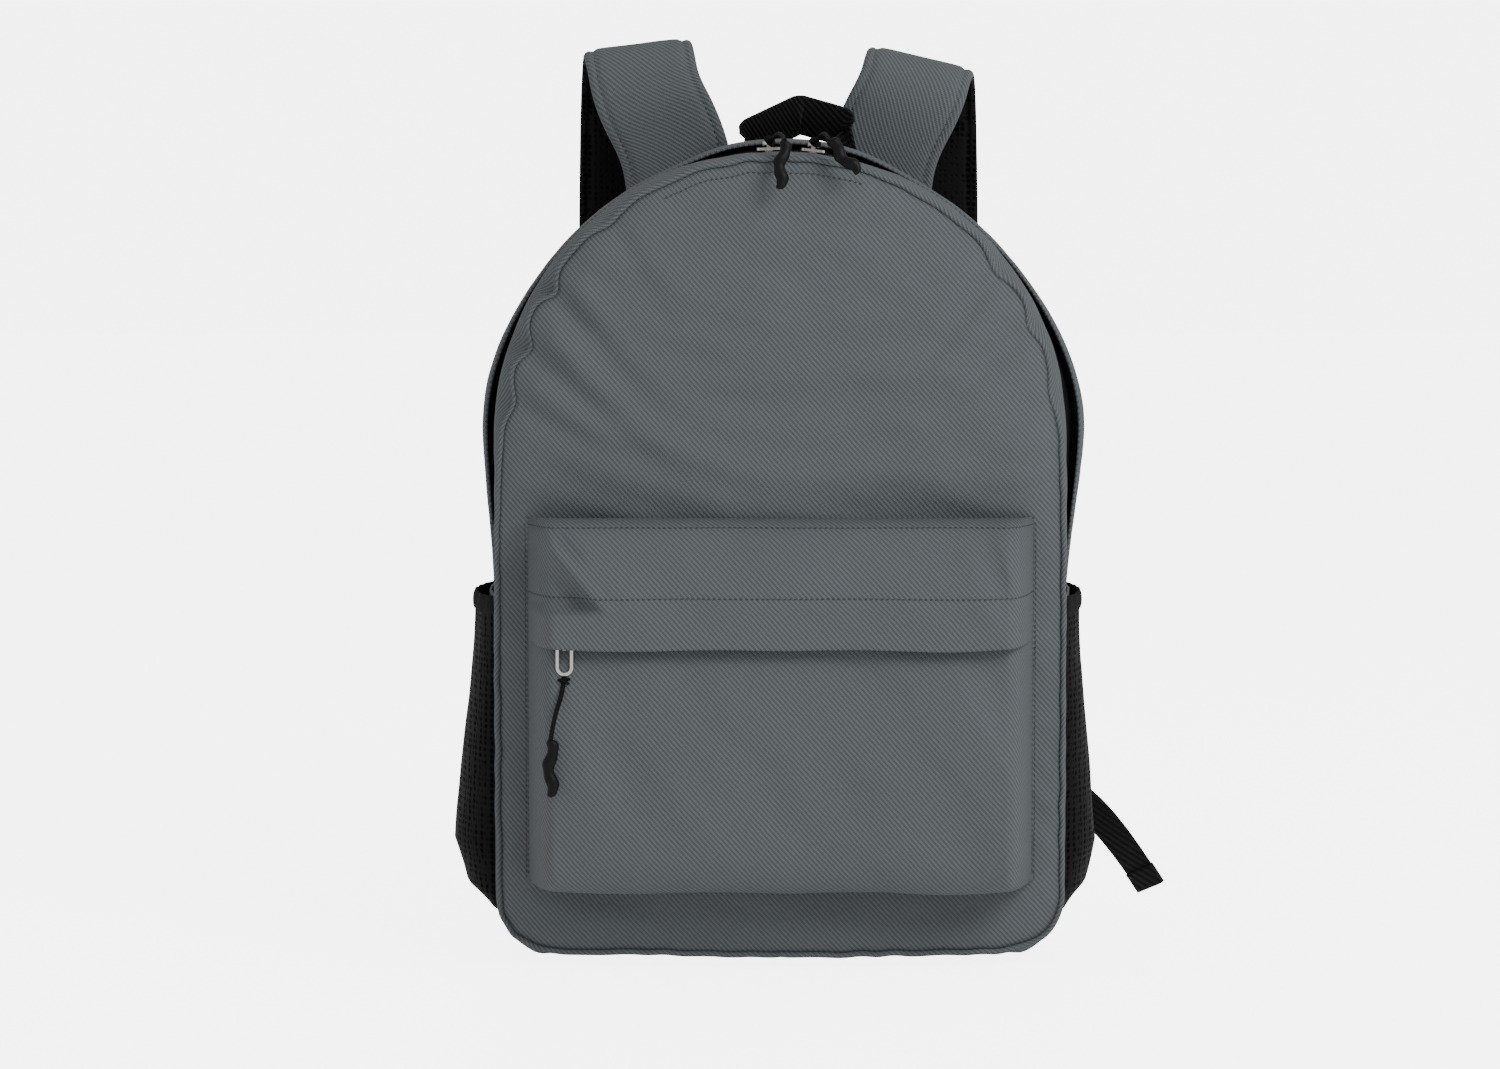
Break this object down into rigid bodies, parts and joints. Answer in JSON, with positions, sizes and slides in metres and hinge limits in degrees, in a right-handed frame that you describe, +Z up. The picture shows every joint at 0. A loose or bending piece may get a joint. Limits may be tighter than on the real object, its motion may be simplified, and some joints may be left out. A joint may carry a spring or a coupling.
{
  "type": "daypack",
  "caption": "Upright fabric daypack with an arched zip opening, zipped front pocket under a storm flap, mesh side pockets, grab handle and padded shoulder straps.",
  "frame": {"origin": "centre of the flat underside of the bottom panel", "axes": "+X to the viewer's right seen from the front, front of the pack -Y, wearer's back +Y, +Z up"},
  "size_m": [0.3897, 0.2336, 0.479],
  "materials": {
    "grey_fabric": "plain woven polyester, matt",
    "black_mesh": "knitted mesh",
    "black_textile": "woven tape and braid",
    "black_webbing": "ribbed polyester webbing",
    "foam": "closed-cell foam, unseen",
    "coil_plastic": "nylon coil",
    "buckle_plastic": "moulded acetal",
    "grip_rubber": "soft moulded rubber",
    "nickel": "nickel plated zinc"
  },
  "bodies": {
    "shell": {"back_foam": "foam", "back_mesh": "black_mesh", "back_panel": "grey_fabric", "bottom_panel": "grey_fabric", "front_gusset_lower": "grey_fabric", "front_panel_lower": "grey_fabric", "lower_webbing_left": "black_webbing", "lower_webbing_right": "black_webbing", "pocket_bag": "grey_fabric", "pocket_coil_lower": "coil_plastic", "pocket_coil_upper": "coil_plastic", "pocket_ends": "grey_fabric", "pocket_hood": "grey_fabric", "pocket_tape_lower": "black_textile", "pocket_tape_upper": "black_textile", "rear_gusset": "grey_fabric", "side_binding_left": "black_textile", "side_binding_right": "black_textile", "side_panel_left": "grey_fabric", "side_panel_right": "grey_fabric", "side_pocket_left": "black_mesh", "side_pocket_right": "black_mesh", "strap_wing_left": "grey_fabric", "strap_wing_right": "grey_fabric", "strap_yoke": "grey_fabric", "zip_coil_front_lower": "coil_plastic", "zip_coil_rear": "coil_plastic", "zip_tape_front_lower": "black_textile", "zip_tape_rear": "black_textile"},
    "lid": {"front_panel_upper": "grey_fabric", "front_gusset_upper": "grey_fabric", "zip_tape_front": "black_textile", "zip_coil_front": "coil_plastic"},
    "slider_left": {"main_slider_left": "nickel"},
    "slider_right": {"main_slider_right": "nickel"},
    "pull_left": {"main_ring_left": "nickel", "main_cord_left": "black_textile", "main_grip_left": "grip_rubber"},
    "pull_right": {"main_ring_right": "nickel", "main_cord_right": "black_textile", "main_grip_right": "grip_rubber"},
    "pocket_slider": {"pocket_slider": "nickel"},
    "pocket_pull": {"pocket_ring": "nickel", "pocket_cord": "black_textile", "pocket_grip": "grip_rubber"},
    "pocket_flap": {"pocket_flap": "grey_fabric"},
    "handle": {"grab_handle": "black_webbing"},
    "strap_left": {"strap_fabric_left": "grey_fabric", "strap_foam_left": "foam", "strap_mesh_left": "black_mesh", "ladder_lock_left": "buckle_plastic", "webbing_tail_left": "black_webbing"},
    "strap_right": {"strap_fabric_right": "grey_fabric", "strap_foam_right": "foam", "strap_mesh_right": "black_mesh", "ladder_lock_right": "buckle_plastic", "webbing_tail_right": "black_webbing"}
  },
  "joints": [
    {"name": "lid_hinge", "type": "hinge", "parent": "shell", "child": "lid", "pos_m": [0, -0.079, 0.24], "axis": [1, 0, 0], "range_deg": [0, 70]},
    {"name": "slider_left_run", "type": "hinge", "parent": "lid", "child": "slider_left", "pos_m": [0, -0.034, 0.28], "axis": [0, -1, 0], "range_deg": [0, 78]},
    {"name": "slider_right_run", "type": "hinge", "parent": "lid", "child": "slider_right", "pos_m": [0, -0.034, 0.28], "axis": [0, 1, 0], "range_deg": [0, 74]},
    {"name": "pull_left_lift", "type": "hinge", "parent": "slider_left", "child": "pull_left", "pos_m": [-0.0062, -0.034, 0.43357], "axis": [-1, 0, 0], "range_deg": [0, 110]},
    {"name": "pull_right_lift", "type": "hinge", "parent": "slider_right", "child": "pull_right", "pos_m": [0.01756, -0.034, 0.43269], "axis": [-1, 0, 0], "range_deg": [0, 110]},
    {"name": "pocket_slider_run", "type": "slide", "parent": "shell", "child": "pocket_slider", "axis": [1, 0, 0], "range_m": [0, 0.216]},
    {"name": "pocket_pull_swing", "type": "hinge", "parent": "pocket_slider", "child": "pocket_pull", "pos_m": [-0.112, -0.10662, 0.1764], "axis": [0, 1, 0], "range_deg": [-50, 50]},
    {"name": "pocket_flap_lift", "type": "hinge", "parent": "shell", "child": "pocket_flap", "pos_m": [0, -0.11002, 0.196], "axis": [-1, 0, 0], "range_deg": [0, 110]},
    {"name": "handle_fold", "type": "hinge", "parent": "shell", "child": "handle", "pos_m": [0, 0.036, 0.43], "axis": [1, 0, 0], "range_deg": [0, 80]},
    {"name": "strap_left_swing", "type": "hinge", "parent": "shell", "child": "strap_left", "pos_m": [-0.053, 0.0652, 0.424], "axis": [1, 0, 0], "range_deg": [0, 15]},
    {"name": "strap_right_swing", "type": "hinge", "parent": "shell", "child": "strap_right", "pos_m": [0.053, 0.0652, 0.424], "axis": [1, 0, 0], "range_deg": [0, 15]}
  ]
}
